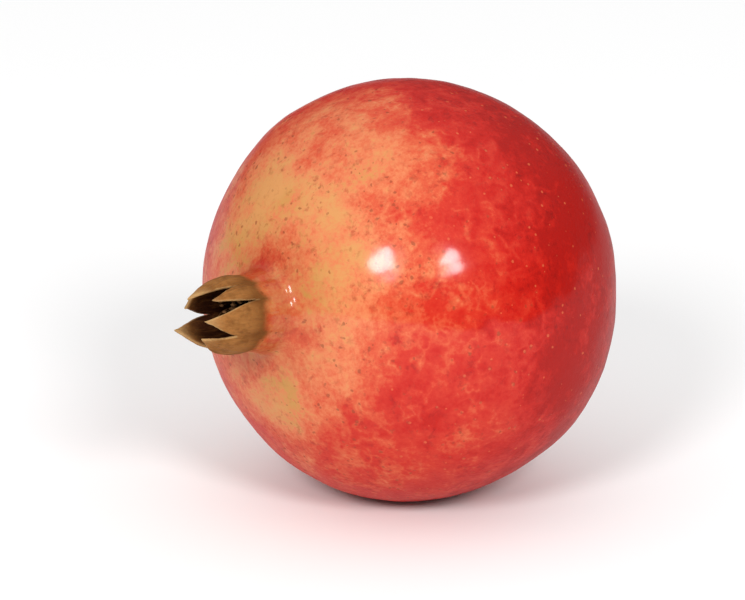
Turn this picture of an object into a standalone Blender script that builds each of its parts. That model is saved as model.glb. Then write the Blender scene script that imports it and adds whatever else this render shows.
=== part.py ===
"""A fresh pomegranate, lying on its side on the small flat spot that it rests on.

The rind and the crown grew as one piece, so they are one solid. It is a grid rolled round the fruit's
axis. Its rows run from the pit at the stem end, over the body and the neck, up the outside of the crown,
over the edges of the sepals and down inside them to the floor of the cup. Its columns run round the axis
and meet each sepal's tip and each notch between two sepals. A short woody stem stub stands in the pit,
and a ring of dried stamens stands in the cup.

The origin is the middle of the flat spot. +Z is up, and +X points from the stem end to the crown.
"along" is a place on the fruit's axis, measured from its widest section towards the crown, and "out" is
a distance from that axis. A turn round the axis starts at the top and goes towards +Y.
Lengths are in metres, and angles are in degrees in the constants and in radians in the functions.
"""

import math
import random
from collections import namedtuple

import bmesh
import bpy
from mathutils import Vector

MM = 0.001

# The body
BODY_RADIUS = 43.5 * MM
STEM_REACH = 39.0 * MM
SHOULDER = (39.6 * MM, 12.0 * MM)
PIT_DEPTH = 2.4 * MM
PIT_RADIUS = 7.5 * MM

# The crown
CROWN_FOOT = (43.0 * MM, 8.3 * MM)
WALL_AT_FOOT = 2.2 * MM
WALL_AT_TIP = 1.2 * MM
TUBE_WAIST = 0.35 * MM
SEPALS_LEAN_FROM = 6.5 * MM
CUP_DEPTH = 4.5 * MM
EDGE_POWER = 0.55
STEEPEST_EDGE = 0.02
FLATTENING = 0.45
CURL_FROM = 0.72

# Where the middle is turned to, how high over the foot the tip is, how far out it is and how far it curls
# outwards, and then where the next notch is turned to and how high its floor is
Sepal = namedtuple("Sepal", "turn height tip_out curl notch_turn notch")
SEPALS = (
    Sepal(-8, 18.8 * MM, 4.0 * MM, 0.3 * MM, 21, 8.2 * MM),
    Sepal(37, 16.0 * MM, 5.4 * MM, 0.6 * MM, 53, 4.7 * MM),
    Sepal(81, 17.8 * MM, 3.6 * MM, 0.2 * MM, 110, 11.0 * MM),
    Sepal(152, 16.4 * MM, 3.6 * MM, 0.5 * MM, 192, 7.2 * MM),
    Sepal(228, 19.8 * MM, 3.2 * MM, 0.3 * MM, 258, 6.2 * MM),
    Sepal(291, 16.4 * MM, 3.6 * MM, 0.3 * MM, 322, 7.2 * MM),
)

# The faint facets and swellings of the body: how many round it, how strong, where, and how they wind
Swell = namedtuple("Swell", "count strength turn wind")
SWELLS = (
    Swell(5, 0.005, 180, 0.6),
    Swell(3, 0.006, 20, 1.2),
    Swell(2, 0.006, 60, 1.0),
)

# How it lies: how far its crown is raised, and where the middle of its widest section is, which is lower
# than the radius of the body, so that the underside is cut flat
CROWN_TILT = 7.0
CENTRE = (0.3 * MM, 0.0, 42.75 * MM)

# How finely the fruit is laid out
COLUMNS_PER_HALF_SEPAL = 6
ROWS = {"pit": 3, "stem side": 9, "crown side": 8, "neck": 3, "outside": 7, "inside": 5, "cup": 3}

# The stem stub and the stamens, kept clear of the fruit by a small gap
GAP = 0.3 * MM
STEM_RADIUS = 2.6 * MM
STEM_LENGTH = 5.5 * MM
STEM_SIDES = 20
STAMENS = 16
RING_OUT = 4.9 * MM
RING_THICKNESS = 0.8 * MM
FILAMENT_LENGTH = 7.5 * MM
FILAMENT_WIDTH = 0.55 * MM
FILAMENT_STEPS = 5
SEED = 5
WELD = 0.001 * MM

# A place on the fruit's outline: where it is, which way the outline runs there (0 is along the axis and
# 90 is away from it), and how far its Bezier handles reach back and ahead
Knot = namedtuple("Knot", "along out heading back ahead")
OUTLINE = {
    "pit": (
        Knot(PIT_DEPTH - STEM_REACH, 0.0, 90, 0.0, 3.0 * MM),
        Knot(-STEM_REACH, PIT_RADIUS, 90, 3.5 * MM, 0.0),
    ),
    "stem side": (
        Knot(-STEM_REACH, PIT_RADIUS, 90, 0.0, 0.50 * BODY_RADIUS),
        Knot(0.0, BODY_RADIUS, 0, 0.56 * STEM_REACH, 0.0),
    ),
    "crown side": (
        Knot(0.0, BODY_RADIUS, 0, 0.0, 0.47 * SHOULDER[0]),
        Knot(*SHOULDER, -74, 0.445 * BODY_RADIUS, 0.0),
    ),
    "neck": (
        Knot(*SHOULDER, -74, 0.0, 2.6 * MM),
        Knot(*CROWN_FOOT, -9, 2.4 * MM, 0.0),
    ),
    "cup": (
        Knot(CROWN_FOOT[0], CROWN_FOOT[1] - WALL_AT_FOOT, 180, 0.0, 2.8 * MM),
        Knot(CROWN_FOOT[0] - CUP_DEPTH, 0.0, -90, 3.6 * MM, 0.0),
    ),
}


def mix(a, b, share):
    """The value that lies this share of the way from a to b."""
    return a + (b - a) * share


def bezier(knots, share):
    """The place (along, out) on the outline between two knots."""
    start, end = knots
    ahead, back = math.radians(start.heading), math.radians(end.heading)
    points = (
        Vector((start.along, start.out)),
        Vector((start.along + start.ahead * math.cos(ahead), start.out + start.ahead * math.sin(ahead))),
        Vector((end.along - end.back * math.cos(back), end.out - end.back * math.sin(back))),
        Vector((end.along, end.out)),
    )
    rest = 1 - share
    weights = (rest**3, 3 * rest**2 * share, 3 * rest * share**2, share**3)
    return sum((weight * point for weight, point in zip(weights, points)), Vector((0, 0)))


def swell(turn, place):
    """How much further out than its outline the body is at this turn, as a factor."""
    along, out = place / BODY_RADIUS
    waves = (s.strength * math.cos(s.count * turn + math.radians(s.turn) + s.wind * along) for s in SWELLS)
    return 1 + sum(waves) * out**1.5


# One column of the grid: its turn, the sepal that it is on, its place between the sepal's middle (0) and
# the notch (1), how wide that half of the sepal is, the notch's height, and what it takes from both sepals
Column = namedtuple("Column", "turn sepal share half notch height tip_out curl")


def columns():
    """The grid's columns, a half sepal at a time, starting from the first sepal's middle."""
    made = []
    for number, sepal in enumerate(SEPALS):
        follower = SEPALS[(number + 1) % len(SEPALS)]
        before = math.radians((sepal.notch_turn - sepal.turn) % 360)
        after = math.radians((follower.turn - sepal.notch_turn) % 360)
        for step in range(2 * COLUMNS_PER_HALF_SEPAL):
            way = step / COLUMNS_PER_HALF_SEPAL
            turned = before * min(way, 1) + after * max(way - 1, 0)
            blend = turned / (before + after)
            made.append(Column(
                turn=math.radians(sepal.turn) + turned,
                sepal=sepal if way <= 1 else follower,
                share=min(way, 2 - way),
                half=before if way <= 1 else after,
                notch=sepal.notch,
                height=mix(sepal.height, follower.height, blend),
                tip_out=mix(sepal.tip_out, follower.tip_out, blend),
                curl=mix(sepal.curl, follower.curl, blend),
            ))
    return made


def edge_height(column):
    """How high over its foot the crown's edge is at this column."""
    rise = column.sepal.height - column.notch
    return column.notch + rise * (1 - column.share) ** EDGE_POWER


def edge_distance(column, height):
    """How far a place on the crown's wall is from its edge."""
    rise = column.sepal.height - column.notch
    left = max(1 - column.share, STEEPEST_EDGE)
    slope = rise * EDGE_POWER * left ** (EDGE_POWER - 1) / (column.half * CROWN_FOOT[1])
    over_notch = edge_height(column) - max(height, column.notch)
    return over_notch / math.hypot(1, slope) + max(0, column.notch - height)


def wall(column, height, side):
    """The place (along, out) on the crown's wall, with side 1 on its outside and -1 on its inside."""
    thickness = mix(WALL_AT_FOOT, WALL_AT_TIP, height / column.height)
    nearness = 1 - min(1, edge_distance(column, height) / (0.9 * thickness))
    waist = TUBE_WAIST * math.sin(math.pi * min(1, height / SEPALS_LEAN_FROM))
    middle = CROWN_FOOT[1] - WALL_AT_FOOT / 2 - waist
    lean = max(0, height - SEPALS_LEAN_FROM) / (column.height - SEPALS_LEAN_FROM)
    middle += (column.tip_out - middle) * lean**2
    middle += column.curl * max(0, (lean - CURL_FROM) / (1 - CURL_FROM)) ** 2
    middle *= mix(1, 1 / math.cos(column.share * column.half), FLATTENING * min(1, lean))
    out = middle + side * thickness / 2 * math.sqrt(1 - nearness**2)
    return Vector((CROWN_FOOT[0] + height, out))


def place_on(column, stretch, share):
    """The place (along, out) of a grid point: a share of the way through one stretch of the rows."""
    if stretch == "outside":
        return wall(column, edge_height(column) * (1 - (1 - share) ** 1.5), 1)
    if stretch == "inside":
        return wall(column, edge_height(column) * (1 - share**1.5), -1)
    place = bezier(OUTLINE[stretch], share)
    if stretch != "cup":
        place.y *= swell(column.turn, place)
    return place


def fruit_mesh():
    """The rind and the crown: a grid rolled round the axis and welded along its seam and its ends."""
    around = columns()
    around.append(around[0])
    rows = [("pit", 0.0)]
    rows += [(stretch, (step + 1) / count) for stretch, count in ROWS.items() for step in range(count)]
    bm = bmesh.new()
    bmesh.ops.create_grid(bm, x_segments=len(rows) - 1, y_segments=len(around) - 1, size=1)
    for vertex in bm.verts:
        stretch, share = rows[round((vertex.co.x + 1) / 2 * (len(rows) - 1))]
        column = around[round((vertex.co.y + 1) / 2 * (len(around) - 1))]
        along, out = place_on(column, stretch, share)
        vertex.co = (along, out * math.sin(column.turn), out * math.cos(column.turn))
    bmesh.ops.remove_doubles(bm, verts=bm.verts, dist=WELD)
    bmesh.ops.recalc_face_normals(bm, faces=bm.faces)
    return finished(bm, "fruit")


def stamens_mesh():
    """The stamens: a ring whose upper faces are drawn out into filaments that lean in over the cup."""
    bpy.ops.mesh.primitive_torus_add(
        major_segments=2 * STAMENS,
        minor_segments=6,
        major_radius=RING_OUT,
        minor_radius=RING_THICKNESS,
        rotation=(0, math.radians(90), 0),
    )
    torus = bpy.context.object
    bm = bmesh.new()
    bm.from_mesh(torus.data)
    bm.transform(torus.matrix_world)
    bm.normal_update()
    bpy.data.objects.remove(torus)
    upper = [face for face in bm.faces if face.normal.x > 0.7 and face_middle(face).yz.length < RING_OUT]
    upper.sort(key=lambda face: math.atan2(*face_middle(face).yz))
    rng = random.Random(SEED)
    for face in upper[::len(upper) // STAMENS]:
        draw_filament(bm, face, FILAMENT_LENGTH * rng.uniform(0.75, 1.1), rng.uniform(0.15, 0.35))
    bmesh.ops.recalc_face_normals(bm, faces=bm.faces)
    return finished(bm, "stamens")


def face_middle(face):
    """The middle of a face's corners."""
    return face.calc_center_median()


def draw_filament(bm, face, length, lean):
    """Draw one face of the ring out into a filament that bends towards the axis as it rises."""
    for step in range(FILAMENT_STEPS):
        face = bmesh.ops.extrude_discrete_faces(bm, faces=[face])["faces"][0]
        middle = face_middle(face)
        inwards = Vector((0, -middle.y, -middle.z)).normalized()
        bend = lean * math.sin(math.pi * (step + 1) / FILAMENT_STEPS)
        move = (Vector((1, 0, 0)) + bend * inwards) * length / FILAMENT_STEPS
        width = math.sqrt(face.calc_area())
        wanted = FILAMENT_WIDTH * (1 - 0.4 * step / FILAMENT_STEPS)
        for vertex in face.verts:
            vertex.co = middle + (vertex.co - middle) * wanted / width + move


def finished(bm, name):
    """A mesh of this name from what was modelled, with round faces shaded smooth."""
    mesh = bpy.data.meshes.new(name)
    bm.to_mesh(mesh)
    bm.free()
    mesh.shade_smooth()
    return mesh


def stem_stub(materials):
    """The woody end of the stem, turned: a foot in the pit, a waist and a cut end with a soft edge."""
    profile = (
        (0.0, STEM_LENGTH),
        (0.72 * STEM_RADIUS, STEM_LENGTH),
        (0.86 * STEM_RADIUS, 0.94 * STEM_LENGTH),
        (0.78 * STEM_RADIUS, 0.55 * STEM_LENGTH),
        (0.84 * STEM_RADIUS, 0.22 * STEM_LENGTH),
        (STEM_RADIUS, 0.04 * STEM_LENGTH),
        (0.94 * STEM_RADIUS, 0.0),
        (0.0, 0.0),
    )
    mesh = bpy.data.meshes.new("stem_stub")
    edges = [(number, number + 1) for number in range(len(profile) - 1)]
    mesh.from_pydata([(out, 0, up) for out, up in profile], edges, [])
    stub = bpy.data.objects.new("stem_stub", mesh)
    turned = stub.modifiers.new("Turned", "SCREW")
    turned.steps = STEM_SIDES
    turned.render_steps = STEM_SIDES
    turned.use_merge_vertices = True
    turned.merge_threshold = WELD
    turned.use_smooth_shade = True
    mesh.materials.append(materials["stem"])
    return stub


def material(name, colour, roughness):
    """A plain material with this colour and roughness."""
    made = bpy.data.materials.new(name)
    made.use_nodes = True
    shader = made.node_tree.nodes["Principled BSDF"]
    shader.inputs["Base Color"].default_value = (*colour, 1)
    shader.inputs["Roughness"].default_value = roughness
    shader.inputs["Metallic"].default_value = 0.0
    return made


def cut_rest_spot(fruit, cutters):
    """Cut the small flat spot into the underside, level with the ground."""
    mesh = bpy.data.meshes.new("ground_cutter")
    bm = bmesh.new()
    bmesh.ops.create_cube(bm, size=4 * BODY_RADIUS)
    bm.to_mesh(mesh)
    bm.free()
    cutter = bpy.data.objects.new("ground_cutter", mesh)
    cutter.location.z = -2 * BODY_RADIUS
    cutter.hide_render = True
    cutter.display_type = "WIRE"
    cutters.objects.link(cutter)
    cut = fruit.modifiers.new("Rest spot", "BOOLEAN")
    cut.operation = "DIFFERENCE"
    cut.solver = "EXACT"
    cut.object = cutter


def clear_scene():
    """Remove every object that the file starts with."""
    for thing in list(bpy.data.objects):
        bpy.data.objects.remove(thing)


def main():
    clear_scene()
    scene = bpy.context.scene
    parts = bpy.data.collections.new("pomegranate")
    cutters = bpy.data.collections.new("cutters")
    scene.collection.children.link(parts)
    scene.collection.children.link(cutters)
    materials = {
        "rind": material("rind", (0.72, 0.10, 0.04), 0.35),
        "stem": material("stem", (0.16, 0.09, 0.04), 0.85),
        "stamens": material("stamens", (0.42, 0.25, 0.10), 0.8),
    }

    axis = bpy.data.objects.new("fruit_axis", None)
    axis.location = CENTRE
    axis.rotation_euler.y = -math.radians(CROWN_TILT)
    parts.objects.link(axis)

    fruit = bpy.data.objects.new("fruit", fruit_mesh())
    fruit.data.materials.append(materials["rind"])
    cut_rest_spot(fruit, cutters)

    stamens = bpy.data.objects.new("stamens", stamens_mesh())
    stamens.data.materials.append(materials["stamens"])
    stamens.location.x = CROWN_FOOT[0]

    stub = stem_stub(materials)
    stub.location.x = PIT_DEPTH - STEM_REACH - 2 * GAP
    stub.rotation_euler.y = -math.radians(90)

    for piece in (fruit, stamens, stub):
        piece.parent = axis
        parts.objects.link(piece)


main()
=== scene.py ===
"""A fresh pomegranate on a pale floor: its rind and crown, the stub of its stem and its dried stamens.

Every piece is laid out round the fruit's own axis, which rises a little towards the crown. "along" is a
place on that axis, measured from the widest section towards the crown, and "out" is a distance from it.
A turn round the axis starts at the top and goes towards +Y. Shapes are worked out in metres and finishes
in centimetres.
"""

import math
import random
from collections import namedtuple

import bmesh
import bpy
from bpy.props import FloatProperty, FloatVectorProperty, IntProperty, PointerProperty
from mathutils import Euler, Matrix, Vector, noise


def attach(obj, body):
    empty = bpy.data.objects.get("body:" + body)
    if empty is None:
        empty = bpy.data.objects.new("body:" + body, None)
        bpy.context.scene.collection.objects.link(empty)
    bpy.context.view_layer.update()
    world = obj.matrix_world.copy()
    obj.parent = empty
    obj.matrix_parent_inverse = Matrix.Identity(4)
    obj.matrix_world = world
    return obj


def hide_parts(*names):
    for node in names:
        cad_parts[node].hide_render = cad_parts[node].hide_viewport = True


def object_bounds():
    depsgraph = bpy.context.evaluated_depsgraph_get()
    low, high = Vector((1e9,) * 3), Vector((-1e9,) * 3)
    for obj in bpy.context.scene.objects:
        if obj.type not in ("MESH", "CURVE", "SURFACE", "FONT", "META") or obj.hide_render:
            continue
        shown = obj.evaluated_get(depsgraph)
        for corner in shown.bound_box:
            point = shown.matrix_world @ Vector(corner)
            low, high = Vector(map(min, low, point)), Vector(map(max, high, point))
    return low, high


bl_info = {
    "name": "Pomegranate",
    "version": (1, 0, 0),
    "blender": (4, 5, 0),
    "location": "View3D > Sidebar > Pomegranate",
    "description": "A fresh pomegranate with its crown, stamens and stem, on a pale studio floor",
    "category": "Add Mesh",
}

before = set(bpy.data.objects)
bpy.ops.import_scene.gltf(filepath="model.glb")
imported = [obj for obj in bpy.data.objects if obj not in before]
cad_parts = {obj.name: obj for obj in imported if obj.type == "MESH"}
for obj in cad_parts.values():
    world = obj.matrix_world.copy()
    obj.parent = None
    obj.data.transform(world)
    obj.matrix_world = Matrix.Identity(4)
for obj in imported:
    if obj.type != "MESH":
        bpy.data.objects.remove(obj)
CAD_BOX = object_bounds()

MM = 0.001
CM = 0.01
WELD = 0.001 * MM

# One sepal: where its middle is turned to, how high over the crown's foot its tip is, how far out the tip
# is and how far it curls outwards, and then where the next notch is turned to and how high its floor is
Sepal = namedtuple("Sepal", "turn height tip_out curl notch_turn notch")
SEPALS = (
    Sepal(-8, 18.8 * MM, 4.0 * MM, 0.3 * MM, 21, 8.2 * MM),
    Sepal(37, 16.0 * MM, 5.4 * MM, 0.6 * MM, 53, 4.7 * MM),
    Sepal(81, 17.8 * MM, 3.6 * MM, 0.2 * MM, 110, 11.0 * MM),
    Sepal(152, 16.4 * MM, 3.6 * MM, 0.5 * MM, 192, 7.2 * MM),
    Sepal(228, 19.8 * MM, 3.2 * MM, 0.3 * MM, 258, 6.2 * MM),
    Sepal(291, 16.4 * MM, 3.6 * MM, 0.3 * MM, 322, 7.2 * MM),
)

# The faint facets and swellings of the body: how many round it, how strong, where, and how they wind
Swell = namedtuple("Swell", "count strength turn wind")
SWELLS = (
    Swell(5, 0.005, 180, 0.6),
    Swell(3, 0.006, 20, 1.2),
    Swell(2, 0.006, 60, 1.0),
)

# A part of the rind that ripened more or less than the rest: its turn and its angle from the crown, how
# wide it is, all in degrees, and how much riper it is, from -1 to 1
Patch = namedtuple("Patch", "turn tilt width riper")
PATCHES = (
    # Round the crown and over the body in front
    Patch(38, 29, 17, -0.13),
    Patch(27, 44, 12, -0.08),
    Patch(66, 22, 10, -0.08),
    Patch(-2, 52, 32, -0.27),
    Patch(-42, 34, 24, -0.21),
    Patch(30, 62, 16, -0.22),
    Patch(58, 46, 16, -0.17),
    Patch(168, 30, 15, -0.19),
    Patch(-14, 13, 8, 0.15),
    Patch(105, 14, 8, 0.08),
    Patch(128, 52, 20, 0.10),
    Patch(102, 58, 22, 0.13),
    Patch(135, 80, 30, -0.07),
    # Behind, underneath and round the stem
    Patch(-120, 70, 34, -0.36),
    Patch(-100, 122, 28, -0.30),
    Patch(170, 120, 30, -0.22),
    Patch(-45, 120, 34, -0.38),
    Patch(0, 180, 27, -0.58),
)

# How finely the fruit is laid out
COLUMNS_PER_HALF_SEPAL = 34
ROWS = {"pit": 10, "stem side": 56, "crown side": 56, "neck": 16, "outside": 34, "inside": 22, "cup": 8}
STUB_SIDES = 72
THREAD_SIDES = 6
THREAD_STEPS = 8

# How the stamens follow each other round the cup, in radians, and what their draws start from
STAMEN_TURN = 2.4
STAMEN_SEED = 11

# Where the soft lamps stand, in degrees round from the camera and up from it, and how far the floor goes
LAMPS_TURNED = (-21.5, 22.5)
LAMPS_RAISED = 13
FLOOR_REACH = 6.0

# A place on the fruit's outline: where it is, which way the outline runs there (0 is along the axis and
# 90 is away from it), and how far its Bezier handles reach back and ahead
Knot = namedtuple("Knot", "along out heading back ahead")

# One column of the layout: its turn, the sepal that it is on, its place between the sepal's middle (0) and
# the notch (1), how wide that half of the sepal is, the notch's height, and what it takes from both sepals
Column = namedtuple("Column", "turn sepal share half notch height tip_out curl")


# ---------------------------------------------------------------------------------------------------
# Sizes and colours
# ---------------------------------------------------------------------------------------------------

def length(name, default, description):
    """A property that holds a length, given here in millimetres and kept in metres."""
    return FloatProperty(
        name=name, description=description, default=default * MM, unit="LENGTH", precision=5,
    )


def colour(name, default, description):
    """A property that holds a colour."""
    return FloatVectorProperty(
        name=name, description=description, default=default, size=3, subtype="COLOR", min=0, max=1,
    )


def share(name, default, description):
    """A property that holds a share from 0 to 1."""
    return FloatProperty(
        name=name, description=description, default=default, min=0, max=1, subtype="FACTOR",
    )


def angle(name, default, description):
    """A property that holds an angle, given here in degrees."""
    return FloatProperty(
        name=name, description=description, default=math.radians(default), unit="ROTATION",
    )


class POMEGRANATE_PG_body(bpy.types.PropertyGroup):
    """The round body of the fruit and how it lies."""

    radius: length("Radius", 43.5, "Distance from the axis to the widest section")
    stem_reach: length("Stem reach", 39.0, "From the widest section back to the stem end")
    shoulder_along: length("Shoulder", 39.6, "From the widest section to where the neck starts")
    shoulder_out: length("Shoulder radius", 12.0, "Radius where the neck starts")
    pit_depth: length("Pit depth", 2.4, "How deep the stem sits in the body")
    pit_radius: length("Pit radius", 7.5, "Radius of the pit's rim")
    tilt: angle("Tilt", 7, "How far the crown is raised")
    centre: FloatVectorProperty(
        name="Centre", description="Where the middle of the widest section is",
        default=(0.3 * MM, 0, 42.75 * MM), size=3, subtype="TRANSLATION", precision=5,
    )
    dents: length("Dents", 0.55, "How far the broad dents and swellings of the rind go")
    wrinkles: length("Wrinkles", 0.25, "How deep the wrinkles round the stem are")


class POMEGRANATE_PG_crown(bpy.types.PropertyGroup):
    """The crown: a short tube that splits into sepals."""

    foot_along: length("Foot", 43.0, "From the widest section to the crown's foot")
    foot_out: length("Foot radius", 8.3, "Radius of the crown at its foot")
    wall_at_foot: length("Wall at the foot", 2.2, "Thickness of the wall at the foot")
    wall_at_tip: length("Wall at the tips", 0.7, "Thickness of the wall near the tips")
    waist: length("Waist", 0.35, "How far the tube draws in over its foot")
    lean_from: length("Lean from", 6.5, "Height from which the sepals lean in")
    cup_depth: length("Cup depth", 4.5, "How far the cup goes down below the foot")
    folds: length("Folds", 0.35, "Depth of the folds that run down from the notches")
    ribs: length("Ribs", 0.16, "Height of the fine ribs along the sepals")


class POMEGRANATE_PG_skin(bpy.types.PropertyGroup):
    """The colours and gloss of the rind and the crown."""

    yellow: colour("Yellow", (0.60, 0.265, 0.085), "Where the rind is least ripe")
    ochre: colour("Ochre", (0.65, 0.180, 0.070), "Between yellow and salmon")
    salmon: colour("Salmon", (0.60, 0.088, 0.032), "Half ripe rind")
    scarlet: colour("Scarlet", (0.54, 0.026, 0.009), "Ripe rind")
    red: colour("Red", (0.48, 0.008, 0.0025), "Riper rind")
    crimson: colour("Crimson", (0.35, 0.004, 0.0015), "The ripest rind")
    olive: colour("Olive", (0.44, 0.245, 0.040), "The faint green in the yellow")
    fleck: colour("Flecks", (0.70, 0.17, 0.060), "Small pale flecks in the red")
    speck: colour("Specks", (0.20, 0.035, 0.008), "Small dark specks in the yellow")
    rusty: colour("Rusty", (0.74, 0.60, 0.55), "What the rind is multiplied by in rusty mottles")
    # Painted shade round the crown: the rind there is multiplied by this colour
    dull: colour("Dull", (0.69, 0.82, 0.66), "What the rind is multiplied by round the crown")
    roughness: share("Roughness", 0.42, "Roughness of the rind")
    wax: share("Wax", 0.125, "How strong the waxy gloss is")
    wax_roughness: share("Wax roughness", 0.13, "How blurred the waxy gloss is")
    sepal: colour("Sepals", (0.31, 0.130, 0.036), "The leathery outside of the sepals")
    # Also the colour of the painted shade at the crown's foot and in its folds
    sepal_brown: colour("Brown of the sepals", (0.15, 0.055, 0.014), "Their darker parts")
    sepal_edge: colour("Edges of the sepals", (0.46, 0.28, 0.12), "Their thin dry edges and tips")
    inside: colour("Inside of the crown", (0.06, 0.018, 0.007), "The inner side of the sepals")
    # Painted shade: a near-black for the bottom of the cup, where the cup is shaded
    depth: colour("Depth of the cup", (0.025, 0.006, 0.003), "The bottom of the cup")


class POMEGRANATE_PG_stem(bpy.types.PropertyGroup):
    """The woody stub of the stem."""

    radius: length("Radius", 2.6, "Radius at its foot")
    height: length("Height", 5.5, "From its foot to the cut")
    gap: length("Gap", 0.6, "From the bottom of the pit to its foot")
    bark: colour("Bark", (0.17, 0.105, 0.055), "The bark")
    bark_dark: colour("Dark bark", (0.070, 0.038, 0.018), "The cracks of the bark")
    wood: colour("Wood", (0.46, 0.33, 0.18), "The cut wood")


class POMEGRANATE_PG_stamens(bpy.types.PropertyGroup):
    """The dried stamens in the cup."""

    count: IntProperty(name="Count", description="How many stamens there are", default=70, min=1)
    longest: length("Longest", 7.6, "Length of the longest thread")
    thickness: length("Thickness", 0.30, "Thickness of a thread")
    lean: length("Lean", 2.2, "How far a thread leans in, at most")
    thread: colour("Threads", (0.26, 0.12, 0.045), "The dried threads")
    head: colour("Heads", (0.17, 0.08, 0.028), "The dried heads")


class POMEGRANATE_PG_stage(bpy.types.PropertyGroup):
    """The floor, the lights and the camera."""

    floor: colour("Floor", (0.96, 0.96, 0.96), "The pale floor")
    azimuth: angle("Azimuth", 136, "Where the camera stands, round the fruit")
    elevation: angle("Elevation", 18, "How far the camera looks down")
    distance: FloatProperty(
        name="Distance", description="From the fruit to the camera", default=1.35, unit="LENGTH",
    )
    field: length("Field", 153, "How much the picture takes in, across, at the fruit")
    from_sides: FloatProperty(
        name="From the sides", description="Strength of the light all round", default=0.21,
    )
    from_above: FloatProperty(
        name="From above", description="Strength of the light overhead", default=0.85,
    )
    power: FloatProperty(
        name="Lamps", description="Power of each soft lamp", default=39, unit="POWER",
    )
    lamp_size: FloatProperty(
        name="Lamp size", description="Width of each soft lamp", default=0.80, unit="LENGTH",
    )
    lamp_distance: FloatProperty(
        name="Lamp distance", description="From the fruit to each soft lamp", default=3.0, unit="LENGTH",
    )


class POMEGRANATE_PG_all(bpy.types.PropertyGroup):
    """All the settings."""

    body: PointerProperty(type=POMEGRANATE_PG_body, name="Body", description="The round body")
    crown: PointerProperty(type=POMEGRANATE_PG_crown, name="Crown", description="The crown")
    skin: PointerProperty(type=POMEGRANATE_PG_skin, name="Skin", description="Colours of rind and crown")
    stem: PointerProperty(type=POMEGRANATE_PG_stem, name="Stem", description="The stem stub")
    stamens: PointerProperty(type=POMEGRANATE_PG_stamens, name="Stamens", description="The stamens")
    stage: PointerProperty(type=POMEGRANATE_PG_stage, name="Stage", description="Floor, lights and camera")


def plain(group):
    """A copy of a property group that is quick to read for every point of a mesh."""
    names = sorted(group.__annotations__)
    values = (getattr(group, name) for name in names)
    copied = (value if isinstance(value, (int, float)) else tuple(value) for value in values)
    return namedtuple("Plain", names)(*copied)


# ---------------------------------------------------------------------------------------------------
# Shapes
# ---------------------------------------------------------------------------------------------------

def mix(a, b, way):
    """The value that lies this share of the way from a to b."""
    return a + (b - a) * way


def ease(low, high, value):
    """0 at low, 1 at high, smooth between them and level past them."""
    way = min(1, max(0, (value - low) / (high - low)))
    return way * way * (3 - 2 * way)


def bezier(knots, way):
    """The place (along, out) on an outline between two knots."""
    start, end = knots
    ahead, back = math.radians(start.heading), math.radians(end.heading)
    points = (
        Vector((start.along, start.out)),
        Vector((start.along + start.ahead * math.cos(ahead), start.out + start.ahead * math.sin(ahead))),
        Vector((end.along - end.back * math.cos(back), end.out - end.back * math.sin(back))),
        Vector((end.along, end.out)),
    )
    rest = 1 - way
    weights = (rest**3, 3 * rest**2 * way, 3 * rest * way**2, way**3)
    return sum((weight * point for weight, point in zip(weights, points)), Vector((0, 0)))


def outline(body, crown):
    """The stretches of the fruit's outline that are turned, which is all but the crown's wall."""
    shoulder = (body.shoulder_along, body.shoulder_out)
    return {
        "pit": (
            Knot(body.pit_depth - body.stem_reach, 0.0, 90, 0.0, 3.0 * MM),
            Knot(-body.stem_reach, body.pit_radius, 90, 3.5 * MM, 0.0),
        ),
        "stem side": (
            Knot(-body.stem_reach, body.pit_radius, 90, 0.0, 0.50 * body.radius),
            Knot(0.0, body.radius, 0, 0.56 * body.stem_reach, 0.0),
        ),
        "crown side": (
            Knot(0.0, body.radius, 0, 0.0, 0.47 * body.shoulder_along),
            Knot(*shoulder, -74, 0.445 * body.radius, 0.0),
        ),
        "neck": (
            Knot(*shoulder, -74, 0.0, 2.6 * MM),
            Knot(crown.foot_along, crown.foot_out, -9, 2.4 * MM, 0.0),
        ),
        "cup": (
            Knot(crown.foot_along, crown.foot_out - crown.wall_at_foot, 180, 0.0, 2.8 * MM),
            Knot(crown.foot_along - crown.cup_depth, 0.0, -90, 3.6 * MM, 0.0),
        ),
    }


def swell(turn, along, out):
    """How much further out than its outline the body is at this turn, as a factor."""
    waves = (s.strength * math.cos(s.count * turn + math.radians(s.turn) + s.wind * along) for s in SWELLS)
    return 1 + sum(waves) * out**1.5


def columns(per_half):
    """The columns of the layout, a half sepal at a time, starting from the first sepal's middle."""
    made = []
    for number, sepal in enumerate(SEPALS):
        follower = SEPALS[(number + 1) % len(SEPALS)]
        before = math.radians((sepal.notch_turn - sepal.turn) % 360)
        after = math.radians((follower.turn - sepal.notch_turn) % 360)
        for step in range(2 * per_half):
            way = step / per_half
            turned = before * min(way, 1) + after * max(way - 1, 0)
            blend = turned / (before + after)
            made.append(Column(
                turn=math.radians(sepal.turn) + turned,
                sepal=sepal if way <= 1 else follower,
                share=min(way, 2 - way),
                half=before if way <= 1 else after,
                notch=sepal.notch,
                height=mix(sepal.height, follower.height, blend),
                tip_out=mix(sepal.tip_out, follower.tip_out, blend),
                curl=mix(sepal.curl, follower.curl, blend),
            ))
    return made


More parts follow.
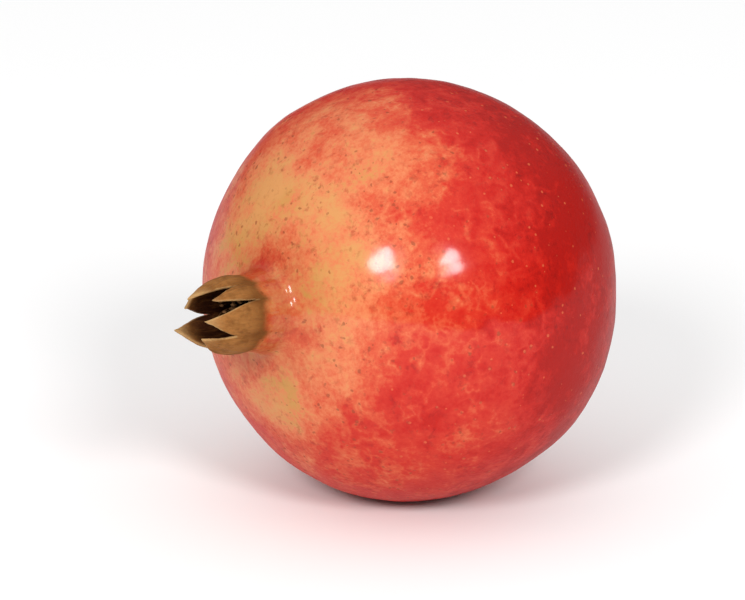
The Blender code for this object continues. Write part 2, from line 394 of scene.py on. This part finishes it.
class Fruit:
    """The shape of the fruit: where each point of the layout lies."""

    # How the crown's edge rises from a notch to a tip, how near a tip its slope is still taken, and how
    # ragged it is
    EDGE_POWER = 0.55
    STEEPEST_EDGE = 0.02
    RAGGED = 0.45 * MM

    # How much of the wall's thickness the rounding of its edge takes, how flat a sepal is across its
    # width, and from which share of the lean its tip curls
    ROUNDING = 0.9
    FLATTENING = 0.45
    CURL_FROM = 0.72

    # How much closer the rows lie near the edge, and how wide a fold is, in radians
    CROWDING = 1.5
    FOLD_WIDTH = 0.13

    def __init__(self, body, crown):
        self.body = body
        self.crown = crown
        self.outline = outline(body, crown)
        self.raised = Euler((0, -body.tilt, 0)).to_matrix()

    def put(self, along, out, turn):
        """A place on the fruit, in the axes of the scene."""
        local = Vector((along, out * math.sin(turn), out * math.cos(turn)))
        return self.raised @ local + Vector(self.body.centre)

    def edge_height(self, column):
        """How high over its foot the crown's edge is at this column."""
        rise = column.sepal.height - column.notch
        ragged = noise.noise((11 * math.cos(column.turn), 11 * math.sin(column.turn), 3.1))
        ragged *= self.RAGGED * math.sin(math.pi * column.share)
        return column.notch + rise * (1 - column.share) ** self.EDGE_POWER + ragged

    def edge_distance(self, column, height):
        """How far a place on the crown's wall is from its edge."""
        rise = column.sepal.height - column.notch
        left = max(1 - column.share, self.STEEPEST_EDGE)
        slope = rise * self.EDGE_POWER * left ** (self.EDGE_POWER - 1) / (column.half * self.crown.foot_out)
        over_notch = max(0, self.edge_height(column) - max(height, column.notch))
        return over_notch / math.hypot(1, slope) + max(0, column.notch - height)

    def fold(self, turn):
        """How far into a fold a turn lies: 1 under a notch and 0 between two notches."""
        turns = (math.radians(sepal.notch_turn) for sepal in SEPALS)
        ways = (math.remainder(turn - notch, math.tau) / self.FOLD_WIDTH for notch in turns)
        return sum(math.exp(-way * way) for way in ways)

    def wall(self, column, height, side):
        """The place (along, out) on the crown's wall, with side 1 on its outside and -1 on its inside."""
        crown = self.crown
        thickness = mix(crown.wall_at_foot, crown.wall_at_tip, height / column.height)
        nearness = 1 - min(1, self.edge_distance(column, height) / (self.ROUNDING * thickness))
        waist = crown.waist * math.sin(math.pi * min(1, height / crown.lean_from))
        middle = crown.foot_out - crown.wall_at_foot / 2 - waist
        lean = max(0, height - crown.lean_from) / (column.height - crown.lean_from)
        middle += (column.tip_out - middle) * lean**2
        middle += column.curl * max(0, (lean - self.CURL_FROM) / (1 - self.CURL_FROM)) ** 2
        middle *= mix(1, 1 / math.cos(column.share * column.half), self.FLATTENING * min(1, lean))
        out = middle + side * thickness / 2 * math.sqrt(1 - nearness**2)
        around = Vector((math.cos(column.turn), math.sin(column.turn), 0))
        rib = noise.noise(9 * around + Vector((0, 0, 0.05 * height / MM)))
        rib += 0.5 * noise.noise(24 * around + Vector((0, 0, 0.1 * height / MM)))
        out += side * crown.ribs * rib * ease(0, 4 * MM, height) * (1 - nearness)
        if side > 0:
            out -= crown.folds * self.fold(column.turn) * (1 - nearness)
        return Vector((crown.foot_along + height, out))

    def relieved(self, place, turn):
        """A place on the turned outline, moved by the swellings, dents, folds and wrinkles of the rind."""
        body = self.body
        along, out = place
        share_out = out / body.radius
        spot = Vector((along, out * math.sin(turn), out * math.cos(turn))) / body.radius
        # Broad dents, smaller ones and a fine unevenness
        dents = noise.noise(1.9 * spot) + 0.4 * noise.noise(4.7 * spot) + 0.10 * noise.noise(15 * spot)
        out *= swell(turn, along / body.radius, share_out)
        out += body.dents * dents * ease(0.12, 0.6, share_out)
        out -= self.crown.folds * self.fold(turn) * ease(0.72, 1.0, along / self.crown.foot_along) ** 2
        if along < 0:
            round_pit = ease(2.6, 0.9, out / body.pit_radius) * ease(0.1, 0.7, out / body.pit_radius)
            wrinkle = math.cos(7 * turn + 2.5 * noise.noise(3 * spot)) + 0.6 * math.cos(11 * turn + 1)
            along += body.wrinkles * wrinkle * round_pit
        return Vector((along, out))

    def place(self, column, stretch, way):
        """The place (along, out) of a point: this share of the way through one stretch of the rows."""
        if stretch == "outside":
            return self.wall(column, self.edge_height(column) * (1 - (1 - way) ** self.CROWDING), 1)
        if stretch == "inside":
            return self.wall(column, self.edge_height(column) * (1 - way**self.CROWDING), -1)
        turned = bezier(self.outline[stretch], way)
        return turned if stretch == "cup" else self.relieved(turned, column.turn)


def rolled(name, rows, around, place, facts=()):
    """A grid primitive rolled up and welded where its points meet, as a smooth mesh.

    place gives the point for one of rows and one of around, followed by a number for each of facts,
    which the mesh holds for that point.
    """
    bm = bmesh.new()
    layers = [bm.verts.layers.float.new(fact) for fact in facts]
    bmesh.ops.create_grid(bm, x_segments=len(rows) - 1, y_segments=len(around), size=1)
    for vertex in bm.verts:
        row = rows[round((vertex.co.x + 1) / 2 * (len(rows) - 1))]
        column = around[round((vertex.co.y + 1) / 2 * len(around)) % len(around)]
        vertex.co, *numbers = place(row, column)
        for layer, number in zip(layers, numbers):
            vertex[layer] = number
    bmesh.ops.remove_doubles(bm, verts=bm.verts, dist=WELD)
    bmesh.ops.recalc_face_normals(bm, faces=bm.faces)
    return made_mesh(bm, name)


def made_mesh(bm, name):
    """A smooth mesh of this name from what was modelled."""
    mesh = bpy.data.meshes.new(name)
    bm.to_mesh(mesh)
    bm.free()
    mesh.shade_smooth()
    return mesh


def add_piece(context, mesh, node, finish):
    """Put a piece in the scene, in place of its CAD node."""
    piece = bpy.data.objects.new(mesh.name, mesh)
    context.scene.collection.objects.link(piece)
    mesh.materials.append(finish)
    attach(piece, "root")
    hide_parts(node)


def fruit_mesh(fruit):
    """The rind and the crown as one skin, with what its finish needs to know of the crown at each point."""
    rows = [("pit", 0.0)]
    rows += [(stretch, (step + 1) / count) for stretch, count in ROWS.items() for step in range(count)]

    def place(row, column):
        stretch, way = row
        along, out = fruit.place(column, stretch, way)
        point = fruit.put(along, out, column.turn)
        point.z = max(point.z, 0)
        height = along - fruit.crown.foot_along
        to_edge = fruit.crown.foot_out
        if stretch in ("outside", "inside"):
            to_edge = fruit.edge_distance(column, height)
        inner = stretch in ("inside", "cup")
        return point, height / MM, to_edge / MM, float(inner), fruit.fold(column.turn)

    facts = ("crown_height", "edge_distance", "inner_side", "fold")
    return rolled("pomegranate", rows, columns(COLUMNS_PER_HALF_SEPAL), place, facts)


def stub_mesh(fruit, stem):
    """The stub of the stem: bark with long cracks and a waist, a worn rim and a cut end."""
    # How far out and how far up each row is, as shares of the radius and the height, and how rough it is
    profile = (
        (0.0, 0.0, 0.0), (0.94, 0.0, 0.2), (1.0, 0.05, 1.0), (0.93, 0.14, 1.0), (0.86, 0.24, 1.0),
        (0.81, 0.36, 1.0), (0.79, 0.50, 1.0), (0.80, 0.64, 1.0), (0.83, 0.78, 1.0), (0.87, 0.88, 1.0),
        (0.88, 0.94, 0.8), (0.84, 0.985, 0.5), (0.76, 1.0, 0.2), (0.66, 0.985, 0.1), (0.50, 0.99, 0.1),
        (0.34, 0.985, 0.1), (0.16, 0.97, 0.1), (0.0, 0.96, 0.0),
    )
    foot = fruit.body.pit_depth - fruit.body.stem_reach - stem.gap
    turns = [math.tau * side / STUB_SIDES for side in range(STUB_SIDES)]

    def place(row, turn):
        out, up, rough = row
        around = Vector((math.cos(turn), math.sin(turn), 0))
        crack = noise.noise(4.5 * around + Vector((0, 0, 0.7 * up))) + 0.5 * noise.noise(11 * around)
        out *= 1 + 0.07 * crack * rough
        # The cut slants a little and isn't quite flat
        slant = 0.05 * around.x * out * up + 0.012 * noise.noise(3 * out * around)
        return (fruit.put(foot - stem.height * (up + slant), stem.radius * out, turn),)

    return rolled("stem", profile, turns, place)


def add_thread(bm, points, thickness):
    """A round thread through these points, which narrows a little towards its end."""
    rings = []
    for number, point in enumerate(points):
        before, after = points[max(number - 1, 0)], points[min(number + 1, len(points) - 1)]
        across = (after - before).to_track_quat("Z", "Y").to_matrix()
        radius = thickness / 2 * (1 - 0.3 * number / len(points))
        turns = (math.tau * side / THREAD_SIDES for side in range(THREAD_SIDES))
        rim = (Vector((radius * math.cos(turn), radius * math.sin(turn), 0)) for turn in turns)
        rings.append([bm.verts.new(point + across @ corner) for corner in rim])
    for ring, follower in zip(rings, rings[1:]):
        for side in range(THREAD_SIDES):
            after = (side + 1) % THREAD_SIDES
            bm.faces.new((ring[side], ring[after], follower[after], follower[side]))
    bm.faces.new(rings[0][::-1])
    bm.faces.new(rings[-1])


def add_head(bm, point, heading, size):
    """A small, long and uneven head on the end of a thread."""
    made = bmesh.ops.create_icosphere(bm, subdivisions=2, radius=1)["verts"]
    across = heading.to_track_quat("Z", "Y").to_matrix()
    # Heads lie far apart in the noise, so that no two are alike
    for vertex in made:
        lumpy = 1 + 0.2 * noise.noise(1.5 * vertex.co + 900 * point)
        shaped = Vector((1.5 * vertex.co.x, vertex.co.y, 0.8 * vertex.co.z))
        vertex.co = point + across @ (size * lumpy * shaped)
    for face in {face for vertex in made for face in vertex.link_faces}:
        face.material_index = 1


def stamens_mesh(fruit, stamens, rng):
    """The dried stamens: bent threads that stand in the cup, each with its small head."""
    bm = bmesh.new()
    for number in range(stamens.count):
        turn = STAMEN_TURN * number + rng.uniform(-0.1, 0.1)
        foot, start = bezier(fruit.outline["cup"], rng.uniform(0.12, 0.5))
        tall = stamens.longest * rng.uniform(0.55, 1.0)
        lean = stamens.lean * rng.uniform(0.2, 1.0)
        twist = rng.uniform(-0.5, 0.5)
        crook = rng.uniform(0.6, 1.8)
        points = []
        for step in range(THREAD_STEPS + 1):
            way = step / THREAD_STEPS
            along = foot - 0.3 * MM + tall * math.sin(1.45 * way)
            points.append(fruit.put(along, start - lean * way**crook, turn + twist * way**2))
        add_thread(bm, points, stamens.thickness)
        size = stamens.thickness * rng.uniform(0.9, 1.4)
        add_head(bm, points[-1], points[-1] - points[-2], size)
    bmesh.ops.recalc_face_normals(bm, faces=bm.faces)
    return made_mesh(bm, "dried_stamens")


# ---------------------------------------------------------------------------------------------------
# Finishes
# ---------------------------------------------------------------------------------------------------

LEATHER_ROUGHNESS = 0.62


class Wire:
    """One output of a node, on which Python's arithmetic adds Math nodes."""

    def __init__(self, finish, socket):
        self.finish = finish
        self.socket = socket

    def __add__(self, other):
        return self.finish.maths("ADD", self, other)

    def __radd__(self, other):
        return self.finish.maths("ADD", other, self)

    def __sub__(self, other):
        return self.finish.maths("SUBTRACT", self, other)

    def __rsub__(self, other):
        return self.finish.maths("SUBTRACT", other, self)

    def __mul__(self, other):
        return self.finish.maths("MULTIPLY", self, other)

    def __rmul__(self, other):
        return self.finish.maths("MULTIPLY", other, self)

    def __truediv__(self, other):
        return self.finish.maths("DIVIDE", self, other)

    def __rtruediv__(self, other):
        return self.finish.maths("DIVIDE", other, self)


class Finish:
    """The nodes of a new material, or of the surroundings."""

    def __init__(self, owner):
        owner.use_nodes = True
        self.owner = owner
        self.nodes = owner.node_tree.nodes
        self.links = owner.node_tree.links
        self.nodes.clear()

    def node(self, kind, settings=None, sockets=None, output=0):
        """Add a node with its settings first and then its sockets, and give one of its outputs."""
        made = self.nodes.new(kind)
        for name, value in (settings or {}).items():
            if name == "stops":
                self.set_stops(made.color_ramp, value)
            else:
                setattr(made, name, value)
        for name, value in (sockets or {}).items():
            if isinstance(value, Wire):
                self.links.new(value.socket, made.inputs[name])
            else:
                made.inputs[name].default_value = value
        return Wire(self, made.outputs[output]) if made.outputs else None

    @staticmethod
    def set_stops(ramp, stops):
        """Give a colour ramp these stops, each a place and a colour."""
        ramp.elements.remove(ramp.elements[-1])
        ramp.elements[0].position, ramp.elements[0].color = stops[0]
        for position, tint in stops[1:]:
            ramp.elements.new(position).color = tint

    def maths(self, operation, *values):
        """A Math node on numbers and wires."""
        return self.node("ShaderNodeMath", {"operation": operation}, dict(enumerate(values)))

    def vector(self, operation, *values, output=0):
        """A Vector Math node on vectors and wires."""
        return self.node("ShaderNodeVectorMath", {"operation": operation}, dict(enumerate(values)), output)

    def scaled(self, vector, scale):
        """A vector made longer or shorter."""
        return self.node("ShaderNodeVectorMath", {"operation": "SCALE"}, {0: vector, "Scale": scale})

    def blend(self, factor, a, b, how="MIX"):
        """Two colours mixed by a factor, or the first one multiplied by the second as far as it says."""
        settings = {"data_type": "RGBA", "blend_type": how}
        first, second = (tint if isinstance(tint, Wire) else (*tint, 1) for tint in (a, b))
        return self.node("ShaderNodeMix", settings, {0: factor, 6: first, 7: second}, output=2)

    def step(self, value, low, high, start=0.0, end=1.0):
        """A smooth step: start at low and before it, end at high and past it."""
        settings = {"interpolation_type": "SMOOTHSTEP"}
        sockets = {"Value": value, "From Min": low, "From Max": high, "To Min": start, "To Max": end}
        return self.node("ShaderNodeMapRange", settings, sockets)

    def ramp(self, value, stops):
        """A colour picked along a ramp of stops."""
        stops = [(place, (*tint, 1)) for place, tint in stops]
        return self.node("ShaderNodeValToRGB", {"stops": stops}, {0: value})

    def clouds(self, place, scale, detail=2.0, roughness=0.5, output=0):
        """Soft noise from 0 to 1, with this many features to a centimetre."""
        sockets = {"Vector": place, "Scale": scale, "Detail": detail, "Roughness": roughness}
        return self.node("ShaderNodeTexNoise", {}, sockets, output)

    def swirled(self, place, scale, amount, detail=2.0):
        """A place pushed about by noise, so that what is drawn there gets uneven edges."""
        push = self.vector("SUBTRACT", self.clouds(place, scale, detail, output=1), (0.5, 0.5, 0.5))
        return self.vector("ADD", place, self.scaled(push, 2 * amount))

    def cells(self, place, scale, output="Distance"):
        """A pattern of cells, this many to a centimetre."""
        return self.node("ShaderNodeTexVoronoi", {}, {"Vector": place, "Scale": scale}, output)

    def dots(self, place, scale, radius, kept):
        """Round dots in this share of the cells of a pattern, each of its own size up to radius."""
        distance = self.cells(place, scale)
        chance = self.node("ShaderNodeSeparateXYZ", {}, {0: self.cells(place, scale, output="Color")})
        size = self.step(chance, 1 - kept, 1.0, 0.0, radius)
        return self.step(distance / (size + 0.001), 1.0, 0.5) * self.step(chance, 1 - kept, 1.001 - kept)

    def stored(self, name):
        """A number that the mesh holds for each of its points."""
        return self.node("ShaderNodeAttribute", {"attribute_name": name}, {}, "Fac")

    def place(self, body, stretch=(1, 1, 1)):
        """Where a point is in the fruit's own axes, in centimetres, drawn out by stretch along each."""
        spot = self.node("ShaderNodeTexCoord", output="Object")
        sockets = {
            "Vector": spot, "Location": body.centre, "Rotation": (0, -body.tilt, 0),
            "Scale": [CM * one for one in stretch],
        }
        return self.node("ShaderNodeMapping", {"vector_type": "TEXTURE"}, sockets)

    def bump(self, height, depth, below=None):
        """A normal from a height, where a height of 1 stands out by this depth."""
        sockets = {"Height": height, "Distance": depth, "Strength": 1.0}
        if below is not None:
            sockets["Normal"] = below
        return self.node("ShaderNodeBump", {}, sockets)

    def done(self, sockets):
        """Finish with the main shader on these sockets, and give the material."""
        shader = self.node("ShaderNodeBsdfPrincipled", {}, sockets)
        self.node("ShaderNodeOutputMaterial", {}, {"Surface": shader})
        return self.owner


def patch_way(finish, direction, patch):
    """How far inside a patch a direction is, from 0 at its rim to 1."""
    turn, tilt, width = (math.radians(value) for value in patch[:3])
    towards = (math.cos(tilt), math.sin(tilt) * math.sin(turn), math.sin(tilt) * math.cos(turn))
    nearness = finish.vector("DOT_PRODUCT", direction, towards, output="Value")
    return finish.step(nearness, math.cos(width), math.cos(0.1 * width))


def ripeness(finish, place):
    """How ripe the rind looks, from 0, yellow, to 1, crimson."""
    direction = finish.vector("NORMALIZE", finish.swirled(place, 0.55, amount=0.55, detail=3))
    along = finish.node("ShaderNodeSeparateXYZ", {}, {0: direction})
    ripe = finish.step(along, 0.90, 0.68, 0.26, 0.54) + finish.step(along, 0.62, -0.25, 0, 0.44)
    for patch in PATCHES:
        ripe = ripe + patch.riper * patch_way(finish, direction, patch)
    broad = finish.clouds(place, 0.42, detail=3, roughness=0.55)
    return ripe + 0.42 * (broad - 0.5)


def mottled(finish, place, ripe, grain):
    """Ripeness with soft blotches, and with short strokes where paler rind shows through the red."""
    blotches = finish.clouds(finish.swirled(place, 1.4, amount=0.22), 2.4, detail=4, roughness=0.58)
    strokes = finish.clouds(finish.swirled(place, 2.0, amount=0.30, detail=1), 2.5, detail=1)
    net = finish.maths("MAXIMUM", 1 - 3 * finish.maths("ABSOLUTE", 2 * strokes - 1), 0)
    net = net * finish.step(finish.clouds(place, 1.3), 0.36, 0.60) * finish.step(ripe, 0.3, 0.5)
    return ripe + 0.55 * (blotches - 0.5) - 0.19 * net + 0.34 * (grain - 0.5)


def rind_tint(finish, skin, place, ripe, specks):
    """The colour of the rind for how ripe it is, with some green, rusty mottles, flecks and specks."""
    tint = finish.ramp(ripe, (
        (0.04, skin.yellow), (0.21, skin.ochre), (0.36, skin.salmon), (0.54, skin.scarlet),
        (0.72, skin.red), (0.92, skin.crimson),
    ))
    green = finish.step(finish.clouds(place, 0.8), 0.40, 0.70) * finish.step(ripe, 0.24, 0.06)
    tint = finish.blend(0.5 * green, tint, skin.olive)
    rust = finish.clouds(finish.swirled(place, 3.2, amount=0.10), 6.0, detail=3, roughness=0.65)
    rust = finish.step(rust, 0.52, 0.70) * finish.step(finish.clouds(place, 1.1), 0.38, 0.62, 0.15, 1)
    tint = finish.blend(rust, tint, skin.rusty, "MULTIPLY")
    flecks = finish.dots(finish.swirled(place, 3.0, amount=0.05), 7.0, radius=0.30, kept=0.4)
    tint = finish.blend(0.45 * flecks * finish.step(ripe, 0.42, 0.62), tint, skin.fleck)
    return finish.blend(0.58 * specks * finish.step(ripe, 0.85, 0.45), tint, skin.speck)


def crown_tint(finish, skin, height, fibres, dapple, inner):
    """The colour of the crown: leather outside and dark inside, with thin dry edges and pale tips, and with
    painted shade at the crown's foot, down its folds and towards the bottom of the cup.
    """
    to_edge = finish.stored("edge_distance")
    brown = finish.step(0.5 * fibres + dapple, 0.56, 0.98, 0, 0.8)
    # Painted shade: the leather turns dark brown towards the crown's foot and down the folds under the
    # notches
    low = finish.step(height + 4 * (dapple - 0.5) - 3 * finish.stored("fold"), 11, 3, 0, 0.9)
    leather = finish.blend(finish.maths("MAXIMUM", brown, low), skin.sepal, skin.sepal_brown)
    dry = finish.step(to_edge + 0.8 * (dapple - 0.5), 0.30, 0.0, 0, 0.6)
    leather = finish.blend(dry, leather, skin.sepal_edge)

    # Painted shade: the inside darkens towards the bottom of the cup and fades to the sepals' colour
    # towards the tips
    shaded_lining = finish.blend(finish.step(height, 13, 3), skin.inside, skin.depth)
    shaded_lining = finish.blend(finish.step(fibres, 0.45, 0.7, 0, 0.5), shaded_lining, skin.sepal_brown)
    shaded_lining = finish.blend(finish.step(height + 4 * (dapple - 0.5), 10, 17, 0, 0.75), shaded_lining, skin.sepal)
    shaded_lining = finish.blend(finish.step(to_edge, 0.3, 0.0, 0, 0.45), shaded_lining, skin.sepal_edge)

    tips = finish.step(height + 2 * (dapple - 0.5), 13.5, 18.0, 0, 0.75)
    return finish.blend(tips, finish.blend(inner, leather, shaded_lining), skin.sepal_edge)


def rind_finish(skin, body):
    """Waxy rind, red over yellow, that turns leathery and dry on the crown."""
    finish = Finish(bpy.data.materials.new("rind"))
    place = finish.place(body)
    grain = finish.clouds(place, 11, roughness=0.7)
    ripe = mottled(finish, place, ripeness(finish, place), grain)
    clustered = finish.step(finish.clouds(place, 1.3), 0.36, 0.58)
    specks = clustered * finish.dots(finish.swirled(place, 7.0, amount=0.07), 7.0, radius=0.36, kept=0.8)
    tint = rind_tint(finish, skin, place, ripe, specks)

    # The rind is darkened round the crown with painted shade, and the crown's leather starts a little over
    # its foot
    height = finish.stored("crown_height")
    inner = finish.stored("inner_side")
    fibres = finish.clouds(finish.place(body, (8, 1, 1)), 16, detail=3, roughness=0.6)
    dapple = finish.clouds(place, 3.2, detail=3, roughness=0.6)
    dull = finish.step(height + 3 * (dapple - 0.5), -7, 0, 0, 0.9)
    tint = finish.blend(dull, tint, skin.dull, "MULTIPLY")
    on_crown = finish.step(height + 1.8 * (dapple - 0.5) + 1.5 * finish.stored("fold"), 3.2, 5.6)
    on_crown = finish.maths("MAXIMUM", on_crown, inner)
    tint = finish.blend(on_crown, tint, crown_tint(finish, skin, height, fibres, dapple, inner))

    rough = skin.roughness + 0.16 * (grain - 0.5) + 0.10 * specks
    pores = finish.clouds(place, 22, detail=3, roughness=0.6)
    relief = finish.bump(pores, 0.035 * MM)
    relief = finish.bump(grain - 0.8 * specks, 0.05 * MM, relief)
    relief = finish.bump(on_crown * fibres, 0.35 * MM, relief)
    return finish.done({
        "Base Color": tint,
        "Roughness": rough + on_crown * (LEATHER_ROUGHNESS - rough),
        "Coat Weight": skin.wax * (1 - on_crown) * finish.step(ripe, 0.60, 0.90, 1, 0.6),
        "Coat Roughness": skin.wax_roughness,
        "Coat IOR": 2.8,
        "Specular IOR Level": 0.04,
        "Subsurface Weight": 0.06,
        "Subsurface Radius": (0.004, 0.0015, 0.0006),
        "Subsurface Scale": 1.0,
        "Normal": relief,
    })


def stem_finish(stem, body):
    """Grey-brown bark with long cracks, and pale cut wood with its rings on the end."""
    finish = Finish(bpy.data.materials.new("stem"))
    place = finish.place(body)
    bark = finish.clouds(finish.place(body, (5, 1, 1)), 12, detail=4, roughness=0.65)
    along = finish.node("ShaderNodeSeparateXYZ", {}, {0: place})
    # The cut wood starts where the rim turns over
    cut = (body.pit_depth - body.stem_reach - stem.gap - 0.965 * stem.height) / CM
    on_cut = finish.step(along + 0.02 * (bark - 0.5), cut + 0.01, cut - 0.01)
    out = finish.vector("LENGTH", finish.vector("MULTIPLY", place, (0, 1, 1)), output="Value")
    rings = finish.maths("SINE", 150 * out + 3 * finish.clouds(place, 5))
    wood = finish.blend(0.5 + 0.35 * rings, stem.wood, stem.bark)
    wood = finish.blend(finish.step(out, 0.16, 0.22), wood, stem.bark_dark)
    tint = finish.blend(finish.step(bark, 0.62, 0.40), stem.bark, stem.bark_dark)
    tint = finish.blend(on_cut, tint, wood)
    return finish.done({
        "Base Color": tint,
        "Roughness": 0.78 + 0.2 * (bark - 0.5),
        "Normal": finish.bump(bark + 0.2 * rings * on_cut, 0.30 * MM),
    })


def stamen_finish(name, tint, darker, body):
    """Dried threads or heads, uneven in colour and dull."""
    finish = Finish(bpy.data.materials.new(name))
    uneven = finish.clouds(finish.place(body), 9, detail=3, roughness=0.6)
    return finish.done({
        "Base Color": finish.blend(finish.step(uneven, 0.35, 0.65), darker, tint),
        "Roughness": 0.72 + 0.3 * (uneven - 0.5),
        "Specular IOR Level": 0.2,
        "Normal": finish.bump(uneven, 0.10 * MM),
    })


def floor_finish(tint):
    """A pale, smooth and dull floor."""
    finish = Finish(bpy.data.materials.new("floor"))
    uneven = finish.clouds(finish.node("ShaderNodeTexCoord", output="Object"), 3, detail=3)
    paler = [min(1, 1.01 * one) for one in tint]
    return finish.done({
        "Base Color": finish.blend(uneven, tint, paler),
        "Roughness": 0.9,
        "Specular IOR Level": 0.1,
    })


# ---------------------------------------------------------------------------------------------------
# Operators
# ---------------------------------------------------------------------------------------------------

def the_fruit(context):
    """The fruit's shape from the settings of the scene."""
    settings = context.scene.pomegranate
    return Fruit(plain(settings.body), plain(settings.crown))


class POMEGRANATE_OT_fruit(bpy.types.Operator):
    """Make the body, the neck and the crown as one skin"""

    bl_idname = "pomegranate.fruit"
    bl_label = "Fruit"

    def execute(self, context):
        fruit = the_fruit(context)
        skin = plain(context.scene.pomegranate.skin)
        add_piece(context, fruit_mesh(fruit), "fruit", rind_finish(skin, fruit.body))
        return {"FINISHED"}


class POMEGRANATE_OT_stem(bpy.types.Operator):
    """Make the woody stub in the pit"""

    bl_idname = "pomegranate.stem"
    bl_label = "Stem stub"

    def execute(self, context):
        fruit = the_fruit(context)
        stem = plain(context.scene.pomegranate.stem)
        add_piece(context, stub_mesh(fruit, stem), "stem_stub", stem_finish(stem, fruit.body))
        return {"FINISHED"}


class POMEGRANATE_OT_stamens(bpy.types.Operator):
    """Make the dried stamens in the cup"""

    bl_idname = "pomegranate.stamens"
    bl_label = "Stamens"

    def execute(self, context):
        fruit = the_fruit(context)
        stamens = plain(context.scene.pomegranate.stamens)
        mesh = stamens_mesh(fruit, stamens, random.Random(STAMEN_SEED))
        darker = [0.45 * one for one in stamens.thread]
        threads = stamen_finish("threads", stamens.thread, darker, fruit.body)
        add_piece(context, mesh, "stamens", threads)
        mesh.materials.append(stamen_finish("heads", stamens.head, stamens.thread, fruit.body))
        return {"FINISHED"}


class POMEGRANATE_OT_stage(bpy.types.Operator):
    """Make the floor, the soft lamps, the white surroundings and the camera"""

    bl_idname = "pomegranate.stage"
    bl_label = "Stage"

    def execute(self, context):
        stage = context.scene.pomegranate.stage
        low, high = CAD_BOX
        middle = (Vector(low) + Vector(high)) / 2
        self.make_floor(context, stage)
        self.make_surroundings(context, stage)
        for turned in LAMPS_TURNED:
            self.make_lamp(context, stage, middle, math.radians(turned), math.radians(LAMPS_RAISED))
        self.make_camera(context, stage, middle)
        context.scene.view_settings.view_transform = "Standard"
        return {"FINISHED"}

    @staticmethod
    def towards(azimuth, elevation):
        """The direction from the fruit to something at this azimuth and elevation."""
        flat = math.cos(elevation)
        return Vector((flat * math.sin(azimuth), -flat * math.cos(azimuth), math.sin(elevation)))

    @staticmethod
    def make_floor(context, stage):
        """A wide square floor under the fruit."""
        bm = bmesh.new()
        bmesh.ops.create_grid(bm, x_segments=1, y_segments=1, size=FLOOR_REACH)
        floor = bpy.data.objects.new("floor", made_mesh(bm, "floor"))
        floor.data.materials.append(floor_finish(tuple(stage.floor)))
        context.scene.collection.objects.link(floor)

    @staticmethod
    def make_surroundings(context, stage):
        """White light from all round, weaker from the sides than from above."""
        sky = Finish(bpy.data.worlds.new("surroundings"))
        towards = sky.node("ShaderNodeTexCoord", output="Generated")
        up = sky.node("ShaderNodeSeparateXYZ", {}, {0: towards}, output=2)
        strength = sky.step(up, 0.0, 0.9, stage.from_sides, stage.from_above)
        background = sky.node("ShaderNodeBackground", {}, {"Color": (1, 1, 1, 1), "Strength": strength})
        sky.node("ShaderNodeOutputWorld", {}, {"Surface": background})
        context.scene.world = sky.owner

    def make_lamp(self, context, stage, middle, turned, raised):
        """A round soft lamp, turned and raised from where the camera stands."""
        data = bpy.data.lights.new("lamp", "AREA")
        data.shape = "DISK"
        data.size = stage.lamp_size
        data.energy = stage.power
        lamp = bpy.data.objects.new("lamp", data)
        direction = self.towards(stage.azimuth + turned, stage.elevation + raised)
        lamp.location = middle + stage.lamp_distance * direction
        lamp.rotation_euler = direction.to_track_quat("Z", "Y").to_euler()
        context.scene.collection.objects.link(lamp)

    def make_camera(self, context, stage, middle):
        """A camera that looks at the middle of the fruit."""
        data = bpy.data.cameras.new("camera")
        data.lens = data.sensor_width * stage.distance / stage.field
        camera = bpy.data.objects.new("camera", data)
        direction = self.towards(stage.azimuth, stage.elevation)
        camera.location = middle + stage.distance * direction
        camera.rotation_euler = direction.to_track_quat("Z", "Y").to_euler()
        context.scene.collection.objects.link(camera)
        context.scene.camera = camera


class POMEGRANATE_PT_pieces(bpy.types.Panel):
    """The pieces of the pomegranate and their settings"""

    bl_idname = "POMEGRANATE_PT_pieces"
    bl_label = "Pomegranate"
    bl_space_type = "VIEW_3D"
    bl_region_type = "UI"
    bl_category = "Pomegranate"

    def draw(self, context):
        settings = context.scene.pomegranate
        for name in settings.__annotations__:
            group = getattr(settings, name)
            box = self.layout.box()
            box.label(text=name.capitalize())
            for setting in group.__annotations__:
                box.prop(group, setting)
        for operator in OPERATORS:
            self.layout.operator(operator.bl_idname)


GROUPS = (
    POMEGRANATE_PG_body,
    POMEGRANATE_PG_crown,
    POMEGRANATE_PG_skin,
    POMEGRANATE_PG_stem,
    POMEGRANATE_PG_stamens,
    POMEGRANATE_PG_stage,
    POMEGRANATE_PG_all,
)
OPERATORS = (
    POMEGRANATE_OT_stage,
    POMEGRANATE_OT_fruit,
    POMEGRANATE_OT_stem,
    POMEGRANATE_OT_stamens,
)


def register():
    for made in (*GROUPS, *OPERATORS, POMEGRANATE_PT_pieces):
        bpy.utils.register_class(made)
    bpy.types.Scene.pomegranate = PointerProperty(type=POMEGRANATE_PG_all)


def unregister():
    del bpy.types.Scene.pomegranate
    for made in reversed((*GROUPS, *OPERATORS, POMEGRANATE_PT_pieces)):
        bpy.utils.unregister_class(made)


def main():
    register()
    bpy.ops.pomegranate.stage()
    bpy.ops.pomegranate.fruit()
    bpy.ops.pomegranate.stem()
    bpy.ops.pomegranate.stamens()


if __name__ == "__main__":
    main()
